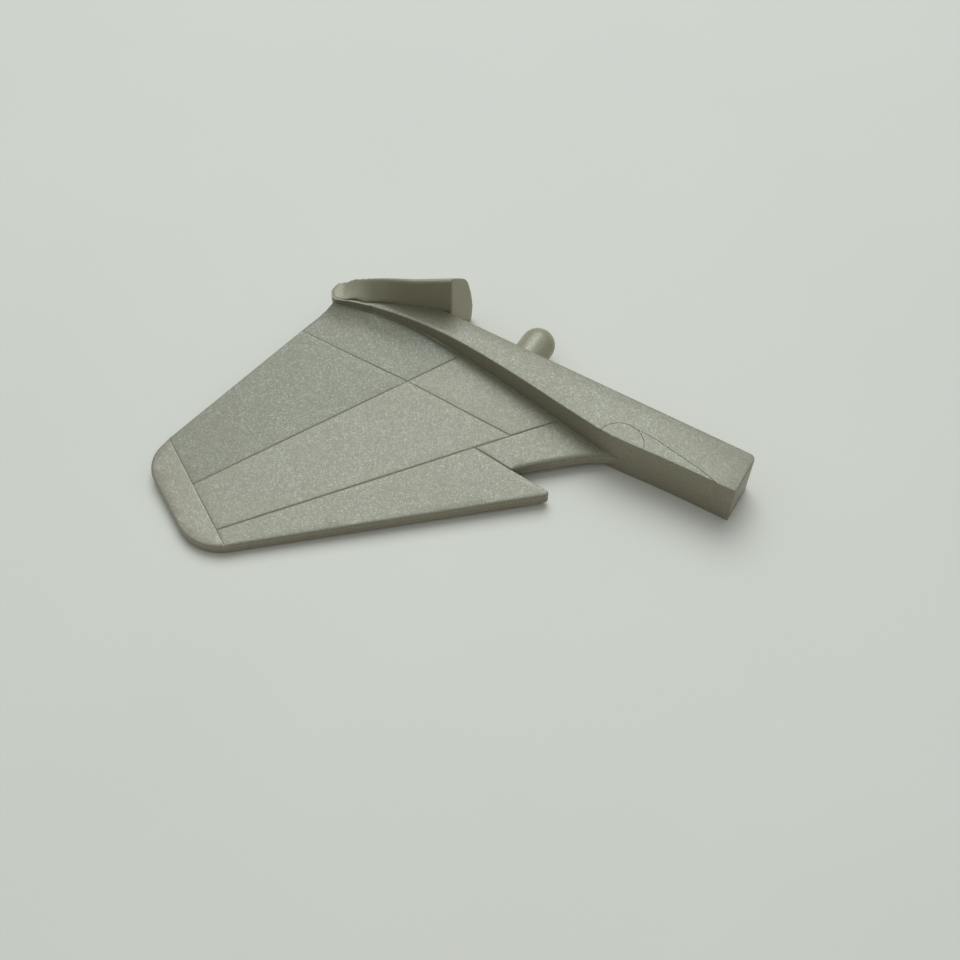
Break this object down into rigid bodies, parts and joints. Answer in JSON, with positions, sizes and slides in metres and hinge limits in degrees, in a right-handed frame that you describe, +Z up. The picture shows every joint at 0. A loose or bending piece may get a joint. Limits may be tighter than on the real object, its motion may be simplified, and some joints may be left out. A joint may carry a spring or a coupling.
{
  "type": "swept wing half",
  "caption": "Small moulded swept wing half with engraved upper panels, a dogtooth edge, a root rail with a domed peg, and a rising rear cowl.",
  "frame": {"origin": "middle of the assembly's box at its base, on the surface that the wing rests on", "axes": "+X along the root rail from its rounded nose to its square end, +Y from the wing tip to the rail's back face, +Z up"},
  "size_m": [0.0674, 0.05, 0.0127],
  "materials": {
    "tip_plastic": "pearl plastic, moulded, satin",
    "trailing_plastic": "pearl plastic, moulded, satin",
    "panel_plastic": "pearl plastic, moulded, satin",
    "leading_plastic": "pearl plastic, moulded, satin",
    "shell_plastic": "pearl plastic, moulded, satin",
    "rail_plastic": "pearl plastic, moulded, satin",
    "inlay_plastic": "pearl plastic, moulded, satin",
    "peg_plastic": "pearl plastic, moulded, satin",
    "cowl_plastic": "pearl plastic, moulded, satin"
  },
  "bodies": {
    "root": {"tip_cap": "tip_plastic", "trailing_edge_outer": "trailing_plastic", "trailing_edge_inner": "trailing_plastic", "mid_panel_outer": "panel_plastic", "mid_panel_inner": "panel_plastic", "leading_edge_outer": "leading_plastic", "leading_edge_inner": "leading_plastic", "lower_skin": "shell_plastic", "root_rail": "rail_plastic", "round_cover": "inlay_plastic", "edge_fairing": "inlay_plastic", "mounting_peg": "peg_plastic", "rear_cowl": "cowl_plastic"}
  },
  "joints": []
}
